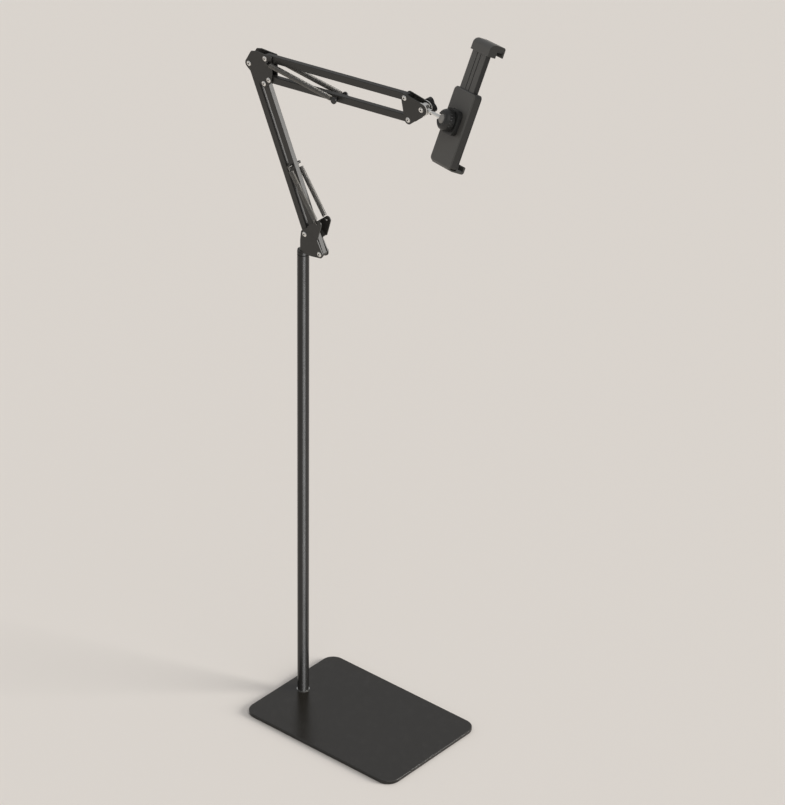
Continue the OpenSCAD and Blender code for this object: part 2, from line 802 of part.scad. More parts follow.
module clamp_springs() {
    seat = anchor_r + 0.3;
    color([0.75, 0.75, 0.74]) clamp_frame() for (y = [-return_y, return_y])
        translate([return_x, y, anchor_z + seat]) cylinder(r = 1.6, h = return_len - 2 * seat);
}

module spring_anchor_pins() {
    color([0.75, 0.75, 0.74]) clamp_frame() for (y = [-return_y, return_y])
        translate([slider_x - slide_gap, y, anchor_z]) rotate([0, 90, 0])
            cylinder(r = anchor_r, h = slot_t);
}

base_mat();
base_plate();
pole_screw();
foot_ring();
foot_plug();
pole_tube();
top_bush();
swivel_collar();
swivel_pin();
shoulder_bracket();
color([0.8, 0.8, 0.78]) {  // shoulder_bolts
    pivot_bolt(lower_rear);
    pivot_bolt(lower_front);
}
color([0.75, 0.75, 0.74]) {  // shoulder_nuts
    pivot_nut(lower_rear);
    pivot_nut(lower_front);
}
color([0.85, 0.85, 0.83]) {  // shoulder_washers
    pivot_washers(lower_rear);
    pivot_washers(lower_front);
}
color([0.23, 0.23, 0.21])  // lower_rear_bar
    arm_bar(lower_rear, lower_dir);
color([0.23, 0.23, 0.21])  // lower_front_bar
    arm_bar(lower_front, lower_dir) pin_hole(lower_pin_at);
color([0.8, 0.8, 0.78]) spring_pin(lower_pin);  // lower_spring_pin
arm_spring(lower_pin, ear_hole, -1, pin_hook, ear_hook);  // lower_right_spring
arm_spring(lower_pin, ear_hole, 1, pin_hook, ear_hook);  // lower_left_spring
elbow_plate(-1);  // right_elbow_plate
elbow_plate(1);  // left_elbow_plate
color([0.8, 0.8, 0.78])  // elbow_bolts
    for (p = [elbow_rear, elbow_front, elbow_low, elbow_top]) pivot_bolt(p);
color([0.75, 0.75, 0.74])  // elbow_nuts
    for (p = [elbow_rear, elbow_front, elbow_low, elbow_top]) pivot_nut(p);
color([0.85, 0.85, 0.83])  // elbow_washers
    for (p = [elbow_rear, elbow_front, elbow_low, elbow_top]) pivot_washers(p);
elbow_spring_studs();
color([0.23, 0.23, 0.21])  // upper_top_bar
    arm_bar(elbow_top, upper_dir);
color([0.23, 0.23, 0.21])  // upper_bottom_bar
    arm_bar(elbow_low, upper_dir) pin_hole(upper_pin_at);
color([0.8, 0.8, 0.78]) spring_pin(upper_pin);  // upper_spring_pin
upper_pin_caps();
arm_spring(elbow_stud, upper_pin, -1, pin_hook, pin_hook);  // upper_right_spring
arm_spring(elbow_stud, upper_pin, 1, pin_hook, pin_hook);  // upper_left_spring
head_plate(-1);  // right_head_plate
head_plate(1);  // left_head_plate
color([0.8, 0.8, 0.78])  // head_bolts
    for (p = [head_top, head_low]) pivot_bolt(p);
color([0.75, 0.75, 0.74])  // head_nuts
    for (p = [head_top, head_low]) pivot_nut(p);
color([0.85, 0.85, 0.83])  // head_washers
    for (p = [head_top, head_low]) pivot_washers(p);
tilt_bolt();
tilt_tongue();
tilt_washers();
thumb_knob();
ball_stud();
ball_liner();
socket_nut();
socket_base();
clamp_body();
clamp_cover();
cover_pad();
clamp_screws();
lower_jaw();
lower_jaw_pad();
clamp_slider();
upper_jaw();
upper_jaw_pad();
clamp_springs();
spring_anchor_pins();
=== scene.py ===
import json
import math

import bpy
from mathutils import Matrix, Vector


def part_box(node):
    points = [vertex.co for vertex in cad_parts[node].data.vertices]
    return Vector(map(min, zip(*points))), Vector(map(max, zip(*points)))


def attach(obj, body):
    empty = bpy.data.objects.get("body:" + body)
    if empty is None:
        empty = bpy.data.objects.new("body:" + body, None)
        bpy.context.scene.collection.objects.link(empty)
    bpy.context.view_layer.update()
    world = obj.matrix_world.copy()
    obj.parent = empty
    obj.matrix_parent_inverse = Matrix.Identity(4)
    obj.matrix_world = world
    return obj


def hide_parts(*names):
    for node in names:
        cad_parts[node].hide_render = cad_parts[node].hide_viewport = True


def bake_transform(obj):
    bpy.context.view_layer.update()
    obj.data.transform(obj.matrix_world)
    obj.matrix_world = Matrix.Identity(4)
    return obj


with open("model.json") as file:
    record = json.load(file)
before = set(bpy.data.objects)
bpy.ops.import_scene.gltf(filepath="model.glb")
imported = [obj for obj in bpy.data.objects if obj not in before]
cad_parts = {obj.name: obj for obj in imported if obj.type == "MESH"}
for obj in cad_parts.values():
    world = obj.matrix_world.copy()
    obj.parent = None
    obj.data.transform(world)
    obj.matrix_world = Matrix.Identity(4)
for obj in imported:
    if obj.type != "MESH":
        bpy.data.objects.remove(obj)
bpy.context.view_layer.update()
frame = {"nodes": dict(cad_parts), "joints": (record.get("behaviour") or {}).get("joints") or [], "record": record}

nodes = frame["nodes"]
mm = 0.001
print("frame loaded,", len(nodes), "nodes")


# The camera, where the photograph was taken from
photoView = {
    "place": (3.2792, -3.6833, 3.4028),   # metres from the pole's foot
    "azimuth": 40.17,
    "elevation": 30.39,
    "roll": 0.77,
    "focalPixels": 3932.1,
    "imageHeight": 805,
    "sensor": 36.0,
    "nearest": 0.1,
    "farthest": 600,                      # past the floor's far edge
}


def placeCamera(view):
    azimuth, elevation = math.radians(view["azimuth"]), math.radians(view["elevation"])
    forward = Vector((
        -math.sin(azimuth) * math.cos(elevation),
        math.cos(azimuth) * math.cos(elevation),
        -math.sin(elevation)))
    level = Vector((math.cos(azimuth), math.sin(azimuth), 0))
    upright = level.cross(forward)
    roll = math.radians(view["roll"])
    right = math.cos(roll) * level + math.sin(roll) * upright
    up = math.cos(roll) * upright - math.sin(roll) * level
    data = bpy.data.cameras.new("photoCamera")
    data.sensor_fit = "VERTICAL"
    data.sensor_height = view["sensor"]
    data.lens = view["focalPixels"] * view["sensor"] / view["imageHeight"]
    data.clip_start, data.clip_end = view["nearest"], view["farthest"]
    camera = bpy.data.objects.new("photoCamera", data)
    bpy.context.scene.collection.objects.link(camera)
    turn = Matrix((right, up, -forward)).transposed()
    camera.matrix_world = Matrix.Translation(view["place"]) @ turn.to_4x4()
    bpy.context.scene.camera = camera


placeCamera(photoView)
print("camera placed")


# Shader maths
bevelSamples = 6
cornerBand = (0.02, 0.14)    # 1 - cosine between the true normal and the eased one


def plug(tree, value, socket):
    if isinstance(value, Signal):
        tree.links.new(value.socket, socket)
    else:
        socket.default_value = value


class Signal:
    # an output socket whose operators add Math nodes

    def __init__(self, tree, socket):
        self.tree = tree
        self.socket = socket

    def maths(self, operation, *terms):
        node = self.tree.nodes.new("ShaderNodeMath")
        node.operation = operation
        for socket, term in zip(node.inputs, terms):
            plug(self.tree, term, socket)
        return Signal(self.tree, node.outputs[0])

    def __add__(self, other):
        return self.maths("ADD", self, other)

    def __radd__(self, other):
        return self.maths("ADD", other, self)

    def __sub__(self, other):
        return self.maths("SUBTRACT", self, other)

    def __rsub__(self, other):
        return self.maths("SUBTRACT", other, self)

    def __mul__(self, other):
        return self.maths("MULTIPLY", self, other)

    def __rmul__(self, other):
        return self.maths("MULTIPLY", other, self)

    def size(self):
        return self.maths("ABSOLUTE", self)


class Finish:
    # a material built on one Principled shader

    def __init__(self, name):
        self.material = bpy.data.materials.new(name)
        self.material.use_nodes = True
        self.tree = self.material.node_tree
        self.tree.nodes.clear()
        self.shader = self.tree.nodes.new("ShaderNodeBsdfPrincipled")
        output = self.tree.nodes.new("ShaderNodeOutputMaterial")
        self.tree.links.new(self.shader.outputs[0], output.inputs[0])

    def node(self, kind, settings=None, sockets=None, out=0):
        made = self.tree.nodes.new(kind)
        for key, value in (settings or {}).items():
            setattr(made, key, value)
        for key, value in (sockets or {}).items():
            plug(self.tree, value, made.inputs[key])
        return Signal(self.tree, made.outputs[out])

    def place(self, stretch=(1, 1, 1)):
        coordinates = self.node("ShaderNodeTexCoord", out="Object")
        return self.node("ShaderNodeMapping", sockets={"Vector": coordinates, "Scale": stretch})

    def noise(self, scale, detail=3.0, rough=0.55, stretch=(1, 1, 1)):
        return self.node("ShaderNodeTexNoise", sockets={
            "Vector": self.place(stretch), "Scale": scale, "Detail": detail, "Roughness": rough})

    def band(self, signal, low, high):
        return self.node("ShaderNodeMapRange", sockets={
            "Value": signal, "From Min": low, "From Max": high})

    def blend(self, factor, first, second):
        # inputs 6 and 7 and output 2 are the Mix node's colours
        mix = self.tree.nodes.new("ShaderNodeMix")
        mix.data_type = "RGBA"
        plug(self.tree, factor, mix.inputs[0])
        plug(self.tree, first, mix.inputs[6])
        plug(self.tree, second, mix.inputs[7])
        return Signal(self.tree, mix.outputs[2])

    def eased(self, radius):
        # the normal as if corners were rounded to that radius
        return self.node("ShaderNodeBevel", {"samples": bevelSamples}, {"Radius": radius})

    def edges(self, radius):
        # high where the surface turns within that radius: it marks rubbed corners, and also painted edge
        # highlights
        true = self.node("ShaderNodeNewGeometry", out="Normal")
        facing = self.node("ShaderNodeVectorMath", {"operation": "DOT_PRODUCT"},
                           {0: self.eased(radius), 1: true}, out="Value")
        return self.band(1.0 - facing, *cornerBand)

    def along(self, axis, origin):
        # distance in metres along an axis of the piece, from its origin
        coordinates = self.node("ShaderNodeTexCoord", out="Object")
        reach = self.node("ShaderNodeVectorMath", {"operation": "DOT_PRODUCT"},
                          {0: coordinates, 1: tuple(axis)}, out="Value")
        return reach - origin.dot(axis)

    def bump(self, height, depth, normal=None, strength=1.0):
        sockets = {"Height": height, "Distance": depth, "Strength": strength}
        if normal is not None:
            sockets["Normal"] = normal
        return self.node("ShaderNodeBump", sockets=sockets)

    def set(self, **values):
        for key, value in values.items():
            plug(self.tree, value, self.shader.inputs[key.replace("_", " ")])
        return self.material


def shade(colour, factor):
    # a colour made darker or lighter, with its alpha
    return tuple(channel * factor for channel in colour[:3]) + (1.0,)


# Finishes
coatLook = {
    "cloudScale": 9,
    "cloudTint": 0.05,
    "cloudRough": 0.08,
    "rubScale": 260,
    "rubBand": (0.42, 0.62),
    "rubShare": 0.35,
    "rubbed": (0.22, 0.215, 0.2, 1),
    "rubGloss": 0.08,
    "dustScale": 90,
    "dustBand": (0.5, 0.8),
    "dustLevel": (0.6, 1.0),      # how far up a surface has to face for dust to lie
    "dustShare": 0.035,
    "dust": (0.3, 0.29, 0.27, 1),
    "dustRough": 0.5,
    # the base's side faces get painted shade, and its top edge a painted highlight line
    "skirtFade": 0.3 * mm,
    "skirtShadeShare": 0.7,
    "skirtShadeTint": 0.1,
    "highlightLineShare": 0.5,
    "line": (0.2, 0.195, 0.18, 1),
}


def powderCoat(name, colour, rough, grain, edge, shine, skirt=0, wear=1.0, pebble=0.03 * mm):
    # baked powder: a fine pebble, faint clouding, rubbed corners and a little dust on top
    look = coatLook
    paint = Finish(name)
    cloud = paint.noise(look["cloudScale"], detail=4)
    grains = paint.noise(grain, detail=2, rough=0.6)
    patches = paint.band(paint.noise(look["rubScale"], detail=4), *look["rubBand"])
    rubbed = paint.edges(edge) * patches * wear
    up = paint.node("ShaderNodeSeparateXYZ",
                    sockets={0: paint.node("ShaderNodeNewGeometry", out="Normal")}, out="Z")
    specks = paint.band(paint.noise(look["dustScale"], detail=5, rough=0.65), *look["dustBand"])
    dust = paint.band(up, *look["dustLevel"]) * specks * look["dustShare"]
    base = paint.blend(cloud, shade(colour, 1 - look["cloudTint"]),
                       shade(colour, 1 + look["cloudTint"]))
    base = paint.blend(dust, base, look["dust"])
    base = paint.blend(rubbed * look["rubShare"], base, look["rubbed"])
    if skirt:
        # below that height the side faces are darkened as painted shade, with a painted highlight as a bright line
        # where they meet the top
        height = paint.along((0, 0, 1), Vector((0, 0, 0)))
        skirtShade = 1.0 - paint.band(height, skirt - look["skirtFade"], skirt)
        line = paint.edges(edge) * (1.0 - skirtShade)
        base = paint.blend(skirtShade * look["skirtShadeShare"], base, shade(colour, look["skirtShadeTint"]))
        base = paint.blend(line * look["highlightLineShare"], base, look["line"])
    dullness = rough + look["cloudRough"] * (cloud - 0.5) + look["dustRough"] * dust
    return paint.set(
        Base_Color=base, Specular_IOR_Level=shine,
        Roughness=dullness - look["rubGloss"] * rubbed,
        Normal=paint.bump(grains, pebble, paint.eased(edge)))


plateLook = {
    "edge": 0.12 * mm,
    "lineScale": 420,
    "lineTint": (0.8, 1.08),
    "lineRough": 0.14,
    "lineDepth": 0.015 * mm,
    "spotScale": 130,
    "spotBand": (0.55, 0.75),
    "spotShare": 0.4,
    "spotTint": 0.55,
    "spotRough": 0.15,
}


def plate(name, colour, rough, brush=(1, 1, 1)):
    # plated steel with a fine lengthwise brushing and a few dull spots
    look = plateLook
    metal = Finish(name)
    lines = metal.noise(look["lineScale"], rough=0.6, stretch=brush)
    spots = metal.band(metal.noise(look["spotScale"], detail=4), *look["spotBand"])
    low, high = look["lineTint"]
    base = metal.blend(lines, shade(colour, low), shade(colour, high))
    base = metal.blend(spots * look["spotShare"], base, shade(colour, look["spotTint"]))
    return metal.set(
        Base_Color=base, Metallic=1.0,
        Roughness=rough + look["lineRough"] * lines + look["spotRough"] * spots,
        Normal=metal.bump(lines, look["lineDepth"], metal.eased(look["edge"])))


mouldLook = {
    "flowScale": 22,
    "flowStretch": (1, 1, 0.4),
    "flowTint": 0.12,
    "flowRough": 0.1,
    "grainDepth": 0.05 * mm,
    "grainStrength": 0.7,
    # edges lightened by this factor: polished wear and a painted highlight
    "wornAndHighlightTint": 3.2,
    "wornGloss": 0.12,
    "zoneFade": 0.2 * mm,
    "zoneShadeTint": 0.1,
}


def moulding(name, colour, rough, grain, edge=0.3 * mm, wear=0.25, shadeZones=()):
    # injection moulded plastic: spark eroded grain, slight flow clouding, polished corners lightened partly as a
    # painted highlight, and strips of painted shade
    look = mouldLook
    plastic = Finish(name)
    flow = plastic.noise(look["flowScale"], rough=0.5, stretch=look["flowStretch"])
    cells = plastic.node("ShaderNodeTexVoronoi", {"feature": "F1"},
                         {"Vector": plastic.place(), "Scale": grain}, out="Distance")
    wornAndHighlight = plastic.edges(edge)
    base = plastic.blend(flow, shade(colour, 1 - look["flowTint"]),
                         shade(colour, 1 + look["flowTint"]))
    for zone in shadeZones:
        # painted shade: a darker strip between two depths along an axis of the clamp, standing for the shade in
        # grooves, edge gaps and side faces
        reach = plastic.along(zone["axis"], clampFrame.translation)
        if zone["bothSides"]:
            reach = reach.size()
        low, high, fade = zone["low"] * mm, zone["high"] * mm, look["zoneFade"]
        inShade = plastic.band(reach, low - fade, low) * (
            1.0 - plastic.band(reach, high, high + fade))
        # painted shade: the colour darkened inside the strip, and the painted edge highlight taken out there
        base = plastic.blend(inShade * zone["shadeShare"], base, shade(colour, look["zoneShadeTint"]))
        wornAndHighlight = wornAndHighlight * (1.0 - inShade * zone["shadeShare"])
    # corners lightened: partly polished wear, partly a painted highlight
    base = plastic.blend(wornAndHighlight * wear, base, shade(colour, look["wornAndHighlightTint"]))
    return plastic.set(
        Base_Color=base,
        Roughness=rough + look["flowRough"] * (flow - 0.5) - look["wornGloss"] * wornAndHighlight,
        Normal=plastic.bump(cells, look["grainDepth"], plastic.eased(edge),
                            look["grainStrength"]))


rubberLook = {
    "rough": 0.72,
    "edge": 0.2 * mm,
    "bloomScale": 90,
    "bloomBand": (0.45, 0.8),
    "bloomShare": 0.35,
    "bloom": (0.09, 0.09, 0.088, 1),
    "bloomRough": 0.15,
    "skinDepth": 0.06 * mm,
}


def softRubber(name, colour, grain):
    # dark rubber with a pale bloom in patches and a fine skin
    look = rubberLook
    rubber = Finish(name)
    bloom = rubber.band(rubber.noise(look["bloomScale"], detail=4), *look["bloomBand"])
    skin = rubber.noise(grain, rough=0.6)
    base = rubber.blend(bloom * look["bloomShare"], shade(colour, 1), look["bloom"])
    return rubber.set(Base_Color=base, Roughness=look["rough"] + look["bloomRough"] * bloom,
                      Normal=rubber.bump(skin, look["skinDepth"], rubber.eased(look["edge"])))


wireLook = {
    "rough": 0.3,
    "tint": 1.1,
    "filmScale": 70,
    "filmBand": (0.4, 0.7),
    "filmShare": 0.5,
    "film": (0.2, 0.185, 0.155, 1),
    "filmRough": 0.12,
    "lineScale": 900,
    "lineRough": 0.08,
    "lineDepth": 0.01 * mm,
}


def drawnWire(name, colour):
    # bare spring wire: drawing lines and a brown film of oil in patches
    look = wireLook
    wire = Finish(name)
    film = wire.band(wire.noise(look["filmScale"], detail=4), *look["filmBand"])
    lines = wire.noise(look["lineScale"], detail=2, rough=0.5)
    base = wire.blend(film * look["filmShare"], shade(colour, look["tint"]), look["film"])
    return wire.set(
        Base_Color=base, Metallic=1.0,
        Roughness=look["rough"] + look["filmRough"] * film + look["lineRough"] * lines,
        Normal=wire.bump(lines, look["lineDepth"]))


nylonLook = {
    "rough": 0.42,
    "edge": 0.1 * mm,
    "cloudScale": 160,
    "cloudTint": (0.9, 1.05),
    "cloudRough": 0.1,
    "cloudDepth": 0.02 * mm,
}


def naturalNylon(name, colour):
    # unpainted nylon, faintly clouded
    look = nylonLook
    nylon = Finish(name)
    cloud = nylon.noise(look["cloudScale"])
    low, high = look["cloudTint"]
    base = nylon.blend(cloud, shade(colour, low), shade(colour, high))
    return nylon.set(Base_Color=base, Roughness=look["rough"] + look["cloudRough"] * cloud,
                     Normal=nylon.bump(cloud, look["cloudDepth"], nylon.eased(look["edge"])))


clampGrey = (0.074, 0.071, 0.064)


def makeFinishes():
    # one for each of the record's material slots
    return {
        # the base's paint carries painted shade on its side faces and a painted highlight line along the top edge
        "dark_paint": powderCoat("basePowderCoat", (0.0155, 0.0135, 0.0105), rough=0.24,
                                 grain=1700, edge=0.6 * mm, shine=0.56, skirt=5.5 * mm),
        "arm_paint": powderCoat("armPowderCoat", (0.028, 0.0265, 0.0235), rough=0.42,
                                grain=2300, edge=0.3 * mm, shine=0.45),
        "black_steel": plate("blackenedSteel", (0.09, 0.088, 0.085), rough=0.3,
                             brush=(1, 0.2, 1)),
        "nickel": plate("brightNickel", (0.86, 0.85, 0.82), rough=0.12),
        "bright_steel": plate("zincPlate", (0.62, 0.62, 0.60), rough=0.26),
        "spring_steel": drawnWire("springWire", (0.19, 0.185, 0.176)),
        "nylon": naturalNylon("naturalNylon", (0.74, 0.72, 0.65)),
        "black_plastic": moulding("blackMoulding", (0.018, 0.018, 0.017), rough=0.42,
                                  grain=1500),
        "clamp_plastic": moulding("clampMoulding", clampGrey, rough=0.46, grain=1800,
                                  edge=0.6 * mm, wear=0.6),
        "black_rubber": softRubber("matRubber", (0.016, 0.016, 0.016), grain=900),
        "pad_rubber": softRubber("padRubber", (0.022, 0.022, 0.022), grain=1400),
    }


pivotJoints = {joint["name"]: Vector(joint["pos_m"]) for joint in frame["joints"]}
clampPose = (("Z", 62.2), ("Y", 25.1), ("X", -11))    # degrees: pan, lean and roll at rest


def standClamp(pose):
    # the clamp's own frame: +X into its face, +Y across it, +Z along it, from the ball's centre
    standing = Matrix.Translation(pivotJoints["ball_fold"])
    for axis, angle in pose:
        standing = standing @ Matrix.Rotation(math.radians(angle), 4, axis)
    return standing


clampFrame = standClamp(clampPose)
clampInto, clampAcross, clampAlong = clampFrame.to_3x3().transposed()

# strips of painted shade on the clamp, in its grooves, edge gaps and side faces: millimetres from the ball's
# centre along one of its axes
sliderGrooveShade = {"axis": clampAcross, "bothSides": True, "low": 4.1, "high": 5.7, "shadeShare": 0.9}
sliderRailShade = {"axis": clampAcross, "bothSides": True, "low": 19.1, "high": 25, "shadeShare": 0.85}
# the flanks' strips are a painted shadow on the side faces
sliderFlankShade = {"axis": clampInto, "bothSides": False, "low": 18.3, "high": 60, "shadeShare": 0.6}
bodyFlankShade = {"axis": clampInto, "bothSides": False, "low": 16.6, "high": 60, "shadeShare": 0.7}
bodyMouthShade = {"axis": clampAlong, "bothSides": False, "low": 45.9, "high": 60, "shadeShare": 0.9}
jawFlankShade = {"axis": clampAcross, "bothSides": True, "low": 24.5, "high": 60, "shadeShare": 0.6}

finishes = makeFinishes()
poleEnamel = powderCoat("poleEnamel", (0.005, 0.0047, 0.0043), rough=0.22, grain=1500,
                        edge=0.3 * mm, shine=0.35, wear=0.0, pebble=0.012 * mm)
ownFinish = {
    "pole_tube": poleEnamel,
    "swivel_collar": poleEnamel,
    # the liner's colour is darkened to paint the shade in the socket's mouth
    "ball_liner": naturalNylon("linerDarkenedAsShade", (0.27, 0.26, 0.24)),
    "clamp_slider": moulding("sliderMoulding", clampGrey, rough=0.44, grain=1800,
                             edge=0.5 * mm, wear=0.7,
                             shadeZones=(sliderGrooveShade, sliderRailShade, sliderFlankShade)),
    "clamp_body": moulding("shellMoulding", clampGrey, rough=0.46, grain=1800,
                           edge=0.7 * mm, wear=0.9, shadeZones=(bodyFlankShade, bodyMouthShade)),
    "upper_jaw": moulding("jawMoulding", clampGrey, rough=0.46, grain=1800,
                          edge=0.6 * mm, wear=0.6, shadeZones=(jawFlankShade,)),
}
for row in frame["record"]["subparts"]:
    finish = ownFinish.get(row["node"], finishes[row["material_slot"]])
    for slot in nodes[row["node"]].material_slots:
        slot.material = finish
print("finishes on the CAD nodes")


# Geometry node trees
class NodeTree:
    # a geometry node tree with named sizes, made once and set by socket identifier

    def __init__(self, name, sizes):
        self.tree = bpy.data.node_groups.new(name, "GeometryNodeTree")
        face = self.tree.interface
        face.new_socket("Geometry", in_out="INPUT", socket_type="NodeSocketGeometry")
        face.new_socket("Geometry", in_out="OUTPUT", socket_type="NodeSocketGeometry")
        for label, kind in sizes.items():
            face.new_socket(label, in_out="INPUT", socket_type=kind)
        self.start = self.tree.nodes.new("NodeGroupInput")
        self.end = self.tree.nodes.new("NodeGroupOutput")

    def size(self, label):
        return self.start.outputs[label]

    def node(self, kind, settings=None, sockets=None):
        made = self.tree.nodes.new(kind)
        for key, value in (settings or {}).items():
            setattr(made, key, value)
        for key, value in (sockets or {}).items():
            if isinstance(value, bpy.types.NodeSocket):
                self.tree.links.new(value, made.inputs[key])
            else:
                made.inputs[key].default_value = value
        return made

    def finish(self, geometry, material):
        smooth = self.node("GeometryNodeSetShadeSmooth", sockets={"Geometry": geometry})
        real = self.node("GeometryNodeRealizeInstances", sockets={"Geometry": smooth.outputs[0]})
        painted = self.node("GeometryNodeSetMaterial", sockets={
            "Geometry": real.outputs[0], "Material": material})
        self.tree.links.new(painted.outputs[0], self.end.inputs[0])

    def run(self, name, source, values):
        # the modifier's result as a plain mesh object
        modifier = source.modifiers.new("build", "NODES")
        modifier.node_group = self.tree
        for item in self.tree.interface.items_tree:
            if item.in_out == "INPUT" and item.name in values:
                modifier[item.identifier] = values[item.name]
        graph = bpy.context.evaluated_depsgraph_get()
        mesh = bpy.data.meshes.new_from_object(source.evaluated_get(graph))
        made = bpy.data.objects.new(name, mesh)
        bpy.context.scene.collection.objects.link(made)
        source.modifiers.remove(modifier)
        bpy.data.objects.remove(source)
        return made


def curveObject(name, points):
    curve = bpy.data.curves.new(name, "CURVE")
    curve.dimensions = "3D"
    spline = curve.splines.new("POLY")
    spline.points.add(len(points) - 1)
    for point, place in zip(spline.points, points):
        point.co = (*place, 1)
    made = bpy.data.objects.new(name, curve)
    bpy.context.scene.collection.objects.link(made)
    return made


def wireTree(material):
    tree = NodeTree("woundWire", {"Wire radius": "NodeSocketFloat", "Sides": "NodeSocketInt"})
    ring = tree.node("GeometryNodeCurvePrimitiveCircle", sockets={
        "Radius": tree.size("Wire radius"), "Resolution": tree.size("Sides")})
    tube = tree.node("GeometryNodeCurveToMesh", sockets={
        "Curve": tree.start.outputs["Geometry"], "Profile Curve": ring.outputs[0],
        "Fill Caps": True})
    tree.finish(tube.outputs[0], material)
    return tree


def pointsObject(name, points):
    mesh = bpy.data.meshes.new(name)
    mesh.from_pydata(points, [], [])
    made = bpy.data.objects.new(name, mesh)
    bpy.context.scene.collection.objects.link(made)
    return made


def ringTree(material):
    # a ring of rectangular section with eased corners, copied to every point of the input
    tree = NodeTree("turnedRings", {
        "Radius": "NodeSocketFloat", "Wall": "NodeSocketFloat", "Height": "NodeSocketFloat",
        "Ease": "NodeSocketFloat", "Sides": "NodeSocketInt", "Turn": "NodeSocketRotation"})
    path = tree.node("GeometryNodeCurvePrimitiveCircle", sockets={
        "Radius": tree.size("Radius"), "Resolution": tree.size("Sides")})
    section = tree.node("GeometryNodeCurvePrimitiveQuadrilateral", sockets={
        "Width": tree.size("Wall"), "Height": tree.size("Height")})
    eased = tree.node("GeometryNodeFilletCurve", sockets={
        "Curve": section.outputs[0], "Radius": tree.size("Ease")})
    ring = tree.node("GeometryNodeCurveToMesh", sockets={
        "Curve": path.outputs[0], "Profile Curve": eased.outputs[0]})
    copies = tree.node("GeometryNodeInstanceOnPoints", sockets={
        "Points": tree.start.outputs["Geometry"], "Instance": ring.outputs[0],
        "Rotation": tree.size("Turn")})
    tree.finish(copies.outputs[0], material)
    return tree


ribEnd = {"Segments": 12, "Rings": 8}


def ribTree(material):
    # a slim rib with rounded ends, copied to every point of the input
    tree = NodeTree("mouldedRibs", {
        "Length": "NodeSocketFloat", "Radius": "NodeSocketFloat", "Turn": "NodeSocketRotation"})
    ball = tree.node("GeometryNodeMeshUVSphere", sockets={
        **ribEnd, "Radius": tree.size("Radius")})
    place = tree.node("GeometryNodeInputPosition")
    parts = tree.node("ShaderNodeSeparateXYZ", sockets={0: place.outputs[0]})
    side = tree.node("ShaderNodeMath", {"operation": "SIGN"}, {0: parts.outputs["Z"]})
    reach = tree.node("ShaderNodeMath", {"operation": "MULTIPLY"}, {
        0: side.outputs[0], 1: tree.size("Length")})
    shift = tree.node("ShaderNodeCombineXYZ", sockets={"Z": reach.outputs[0]})
    rib = tree.node("GeometryNodeSetPosition", sockets={
        "Geometry": ball.outputs[0], "Offset": shift.outputs[0]})
    copies = tree.node("GeometryNodeInstanceOnPoints", sockets={
        "Points": tree.start.outputs["Geometry"], "Instance": rib.outputs[0],
        "Rotation": tree.size("Turn")})
    tree.finish(copies.outputs[0], material)
    return tree


# The four balance springs
spring = {
    "outer": 7.6 * mm,
    "wire": 1.1 * mm,
    "pitch": 1.42 * mm,      # a little open, as it hangs under load
    "pointsPerTurn": 18,
    "sides": 8,
    "offset": 10 * mm,       # from the middle of the arm
    "grooveHook": 2.0 * mm,  # hook radius round a grooved pin
    "earHook": 2.0 * mm,
    "earReach": 2.8 * mm,
    "pinLeg": 1 * mm,        # straight wire past the hook
    "earLeg": 2.6 * mm,
    "pinCurl": 6.5 * mm,     # from the anchor to the first curl
    "earCurl": 6.4 * mm,
}
hookSteps = 12


def hookPoints(radius, reach, leg, across):
    # free tip, half round behind the anchor, then straight towards the first curl
    points = [Vector((reach + leg, 0, 0)) + radius * across]
    for step in range(hookSteps + 1):
        turn = math.pi / 2 + math.pi * step / hookSteps
        points.append(Vector((reach + radius * math.cos(turn), 0, 0))
                      + radius * math.sin(turn) * across)
    points.append(Vector((reach + leg, 0, 0)) - radius * across)
    return points


def springPoints(span, startHook, endHook, coil):
    # a spring along +X; each hook gives its radius, reach, leg, turn and place of the first curl
    def across(turn):
        return Vector((0, math.sin(turn), math.cos(turn)))

    radius, reach, leg, spin, curl = startHook
    points = hookPoints(radius, reach, leg, across(spin))
    endRadius, endReach, endLeg, endSpin, endCurl = endHook
    coilRadius = (coil["outer"] - coil["wire"]) / 2
    body = span - curl - endCurl
    turns = round(body / coil["pitch"])
    sweep = math.tau * turns + endSpin - spin
    steps = turns * coil["pointsPerTurn"]
    for step in range(steps + 1):
        share = step / steps
        points.append(Vector((curl + body * share, 0, 0))
                      + coilRadius * across(spin + math.pi + sweep * share))
    tail = hookPoints(endRadius, endReach, endLeg, across(endSpin))
    points += [Vector((span - p.x, p.y, p.z)) for p in reversed(tail)]
    return points


def windSpring(name, points, frameOfSpring, coil, tree):
    path = curveObject(name + "Path", [frameOfSpring @ p for p in points])
    return tree.run(name, path, {"Wire radius": coil["wire"] / 2, "Sides": coil["sides"]})


def stepAt(share):
    # how far along a smooth step lies the place where it has risen by that share
    return 0.5 - math.sin(math.asin(1 - 2 * share) / 3)


def cutWire(points, places):
    # the wire in stretches that meet at those distances from its first anchor
    stretches, rest = [], points
    for place in places:
        after = next(i for i, p in enumerate(rest) if p.x > place)
        before = rest[after - 1]
        meet = before.lerp(rest[after], (place - before.x) / (rest[after].x - before.x))
        stretches.append(rest[:after] + [meet])
        rest = [meet] + rest[after:]
    return stretches + [rest]


